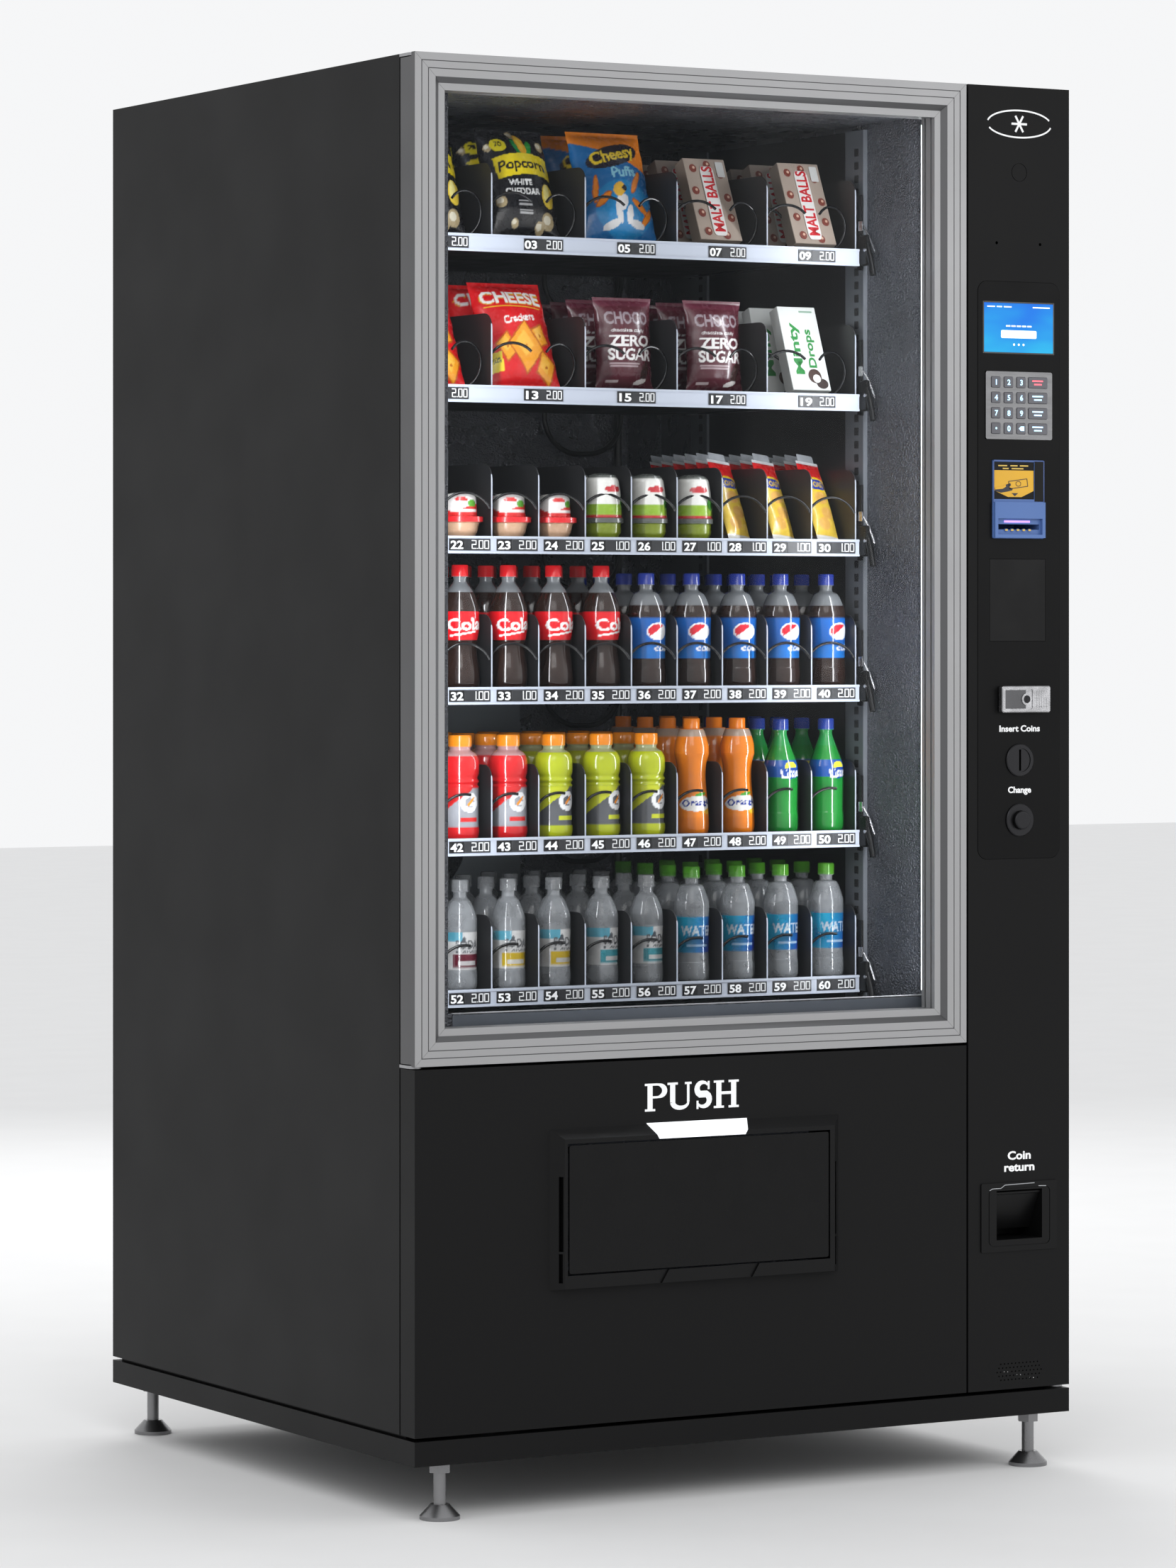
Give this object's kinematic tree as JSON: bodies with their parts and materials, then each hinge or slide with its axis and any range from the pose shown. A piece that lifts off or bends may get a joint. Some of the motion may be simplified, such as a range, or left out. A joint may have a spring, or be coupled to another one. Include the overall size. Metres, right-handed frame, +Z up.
{
  "type": "snack vending machine",
  "caption": "Free-standing snack vending machine: glass-fronted cabinet with spiral trays, delivery flap below and a control column with screen, keypad and coin and note slots.",
  "frame": {"origin": "on the floor, under the middle of the cabinet", "axes": "+Z up, -Y out of the customer's side, +X to the customer's right"},
  "size_m": [1.046, 0.9736, 1.94],
  "materials": {
    "black_paint": "satin",
    "liner_sheet": "embossed",
    "rack_steel": "satin",
    "led_diffuser": "lit",
    "cable_black": "matte",
    "grey_plastic": "satin",
    "machinery": "satin",
    "black_plastic": "satin",
    "flap_plastic": "satin",
    "lamp_white": "gloss",
    "hinge_steel": "satin",
    "foot_steel": "gloss",
    "frame_aluminium": "satin anodised",
    "clear_glass": "gloss",
    "screen_glass": "lit",
    "keypad_steel": "brushed",
    "reader_plastic": "satin",
    "lock_chrome": "polished",
    "dark_metal": "satin",
    "tray_steel": "satin",
    "spiral_wire": "gloss"
  },
  "bodies": {
    "cabinet": {"cabinet_shell": "black_paint", "rear_panel": "black_paint", "base_plinth": "black_paint", "insulated_liner": "liner_sheet", "tray_rack": "rack_steel", "led_strips": "led_diffuser", "wiring_harness": "cable_black", "evaporator_cover": "grey_plastic", "refrigeration_deck": "machinery", "delivery_bin": "liner_sheet", "lower_panel": "black_paint", "delivery_bezel": "black_plastic", "delivery_lamp": "lamp_white", "hinge_brackets": "hinge_steel", "levelling_feet": "foot_steel"},
    "glass_door": {"door_frame": "frame_aluminium", "door_glass": "clear_glass"},
    "column_door": {"column_panel": "black_paint", "control_fascia": "black_plastic", "display_screen": "screen_glass", "keypad_plate": "keypad_steel", "bill_acceptor": "reader_plastic", "reader_cover": "black_plastic", "lock_housing": "lock_chrome", "coin_fittings": "dark_metal", "coin_cup": "black_plastic", "coin_changer": "black_plastic"},
    "lock_stem": {"lock_stem": "lock_chrome"},
    "lock_handle": {"lock_handle": "lock_chrome"},
    "coin_return_button": {"coin_return_button": "dark_metal"},
    "coin_cup_flap": {"coin_cup_flap": "black_plastic"},
    "delivery_flap": {"delivery_flap": "flap_plastic"},
    "condenser_fan": {"condenser_fan": "black_plastic"},
    "evaporator_fan": {"evaporator_fan": "black_plastic"},
    "key_1": {"key_1": "keypad_steel"},
    "key_2": {"key_2": "keypad_steel"},
    "key_3": {"key_3": "keypad_steel"},
    "key_cancel": {"key_cancel": "keypad_steel"},
    "key_4": {"key_4": "keypad_steel"},
    "key_5": {"key_5": "keypad_steel"},
    "key_6": {"key_6": "keypad_steel"},
    "key_select_a": {"key_select_a": "keypad_steel"},
    "key_7": {"key_7": "keypad_steel"},
    "key_8": {"key_8": "keypad_steel"},
    "key_9": {"key_9": "keypad_steel"},
    "key_select_b": {"key_select_b": "keypad_steel"},
    "key_dot": {"key_dot": "keypad_steel"},
    "key_0": {"key_0": "keypad_steel"},
    "key_erase": {"key_erase": "keypad_steel"},
    "key_enter": {"key_enter": "keypad_steel"},
    "tray_1": {"tray_1": "tray_steel"},
    "tray_2": {"tray_2": "tray_steel"},
    "tray_3": {"tray_3": "tray_steel"},
    "tray_4": {"tray_4": "tray_steel"},
    "tray_5": {"tray_5": "tray_steel"},
    "tray_6": {"tray_6": "tray_steel"},
    "spiral_3": {"spiral_3": "spiral_wire"},
    "spiral_4": {"spiral_4": "spiral_wire"},
    "spiral_5": {"spiral_5": "spiral_wire"},
    "spiral_6": {"spiral_6": "spiral_wire"}
  },
  "joints": [
    {"name": "glass_door_swing", "type": "hinge", "parent": "cabinet", "child": "glass_door", "pos_m": [-0.513, -0.4505, 1.2], "axis": [0, 0, -1], "range_deg": [0, 90]},
    {"name": "column_door_swing", "type": "hinge", "parent": "cabinet", "child": "column_door", "pos_m": [0.513, -0.4505, 1], "axis": [0, 0, 1], "range_deg": [0, 90]},
    {"name": "lock_pop_out", "type": "slide", "parent": "column_door", "child": "lock_stem", "axis": [0, -1, 0], "range_m": [0, 0.014]},
    {"name": "lock_handle_turn", "type": "hinge", "parent": "lock_stem", "child": "lock_handle", "pos_m": [0.443, -0.4775, 1.0805], "axis": [0, -1, 0], "range_deg": [0, 90]},
    {"name": "coin_return_press", "type": "slide", "parent": "column_door", "child": "coin_return_button", "axis": [0, 1, 0], "range_m": [0, 0.005], "stiffness_N_per_m": 300, "springref_m": -0.002},
    {"name": "coin_cup_flap_swing", "type": "hinge", "parent": "column_door", "child": "coin_cup_flap", "pos_m": [0.437, -0.4655, 0.388], "axis": [1, 0, 0], "range_deg": [0, 30]},
    {"name": "delivery_flap_swing", "type": "hinge", "parent": "cabinet", "child": "delivery_flap", "pos_m": [-0.0925, -0.478, 0.483], "axis": [1, 0, 0], "range_deg": [0, 75], "stiffness_Nm_per_rad": 0.4, "springref_deg": -14.32},
    {"name": "condenser_fan_spin", "type": "hinge", "parent": "cabinet", "child": "condenser_fan", "pos_m": [0.09, 0.06, 0.3], "axis": [0, 1, 0], "continuous": true},
    {"name": "evaporator_fan_spin", "type": "hinge", "parent": "cabinet", "child": "evaporator_fan", "pos_m": [-0.3, 0.395, 0.86], "axis": [0, 1, 0], "continuous": true},
    {"name": "key_1_press", "type": "slide", "parent": "column_door", "child": "key_1", "axis": [0, 1, 0], "range_m": [0, 0.001], "stiffness_N_per_m": 250, "springref_m": -0.001},
    {"name": "key_2_press", "type": "slide", "parent": "column_door", "child": "key_2", "axis": [0, 1, 0], "range_m": [0, 0.001], "stiffness_N_per_m": 250, "springref_m": -0.001},
    {"name": "key_3_press", "type": "slide", "parent": "column_door", "child": "key_3", "axis": [0, 1, 0], "range_m": [0, 0.001], "stiffness_N_per_m": 250, "springref_m": -0.001},
    {"name": "key_cancel_press", "type": "slide", "parent": "column_door", "child": "key_cancel", "axis": [0, 1, 0], "range_m": [0, 0.001], "stiffness_N_per_m": 250, "springref_m": -0.001},
    {"name": "key_4_press", "type": "slide", "parent": "column_door", "child": "key_4", "axis": [0, 1, 0], "range_m": [0, 0.001], "stiffness_N_per_m": 250, "springref_m": -0.001},
    {"name": "key_5_press", "type": "slide", "parent": "column_door", "child": "key_5", "axis": [0, 1, 0], "range_m": [0, 0.001], "stiffness_N_per_m": 250, "springref_m": -0.001},
    {"name": "key_6_press", "type": "slide", "parent": "column_door", "child": "key_6", "axis": [0, 1, 0], "range_m": [0, 0.001], "stiffness_N_per_m": 250, "springref_m": -0.001},
    {"name": "key_select_a_press", "type": "slide", "parent": "column_door", "child": "key_select_a", "axis": [0, 1, 0], "range_m": [0, 0.001], "stiffness_N_per_m": 250, "springref_m": -0.001},
    {"name": "key_7_press", "type": "slide", "parent": "column_door", "child": "key_7", "axis": [0, 1, 0], "range_m": [0, 0.001], "stiffness_N_per_m": 250, "springref_m": -0.001},
    {"name": "key_8_press", "type": "slide", "parent": "column_door", "child": "key_8", "axis": [0, 1, 0], "range_m": [0, 0.001], "stiffness_N_per_m": 250, "springref_m": -0.001},
    {"name": "key_9_press", "type": "slide", "parent": "column_door", "child": "key_9", "axis": [0, 1, 0], "range_m": [0, 0.001], "stiffness_N_per_m": 250, "springref_m": -0.001},
    {"name": "key_select_b_press", "type": "slide", "parent": "column_door", "child": "key_select_b", "axis": [0, 1, 0], "range_m": [0, 0.001], "stiffness_N_per_m": 250, "springref_m": -0.001},
    {"name": "key_dot_press", "type": "slide", "parent": "column_door", "child": "key_dot", "axis": [0, 1, 0], "range_m": [0, 0.001], "stiffness_N_per_m": 250, "springref_m": -0.001},
    {"name": "key_0_press", "type": "slide", "parent": "column_door", "child": "key_0", "axis": [0, 1, 0], "range_m": [0, 0.001], "stiffness_N_per_m": 250, "springref_m": -0.001},
    {"name": "key_erase_press", "type": "slide", "parent": "column_door", "child": "key_erase", "axis": [0, 1, 0], "range_m": [0, 0.001], "stiffness_N_per_m": 250, "springref_m": -0.001},
    {"name": "key_enter_press", "type": "slide", "parent": "column_door", "child": "key_enter", "axis": [0, 1, 0], "range_m": [0, 0.001], "stiffness_N_per_m": 250, "springref_m": -0.001},
    {"name": "tray_1_slide", "type": "slide", "parent": "cabinet", "child": "tray_1", "axis": [0, -1, 0], "range_m": [0, 0.11]},
    {"name": "tray_2_slide", "type": "slide", "parent": "cabinet", "child": "tray_2", "axis": [0, -1, 0], "range_m": [0, 0.11]},
    {"name": "tray_3_slide", "type": "slide", "parent": "cabinet", "child": "tray_3", "axis": [0, -1, 0], "range_m": [0, 0.11]},
    {"name": "tray_4_slide", "type": "slide", "parent": "cabinet", "child": "tray_4", "axis": [0, -1, 0], "range_m": [0, 0.11]},
    {"name": "tray_5_slide", "type": "slide", "parent": "cabinet", "child": "tray_5", "axis": [0, -1, 0], "range_m": [0, 0.11]},
    {"name": "tray_6_slide", "type": "slide", "parent": "cabinet", "child": "tray_6", "axis": [0, -1, 0], "range_m": [0, 0.11]},
    {"name": "spiral_3_turn", "type": "hinge", "parent": "tray_3", "child": "spiral_3", "pos_m": [-0.39535, 0, 1.3306], "axis": [0, 1, 0], "continuous": true},
    {"name": "spiral_4_turn", "type": "hinge", "parent": "tray_4", "child": "spiral_4", "pos_m": [-0.39535, 0, 1.1235], "axis": [0, 1, 0], "continuous": true},
    {"name": "spiral_5_turn", "type": "hinge", "parent": "tray_5", "child": "spiral_5", "pos_m": [-0.39535, 0, 0.9164], "axis": [0, 1, 0], "continuous": true},
    {"name": "spiral_6_turn", "type": "hinge", "parent": "tray_6", "child": "spiral_6", "pos_m": [-0.39535, 0, 0.7093], "axis": [0, 1, 0], "continuous": true}
  ]
}
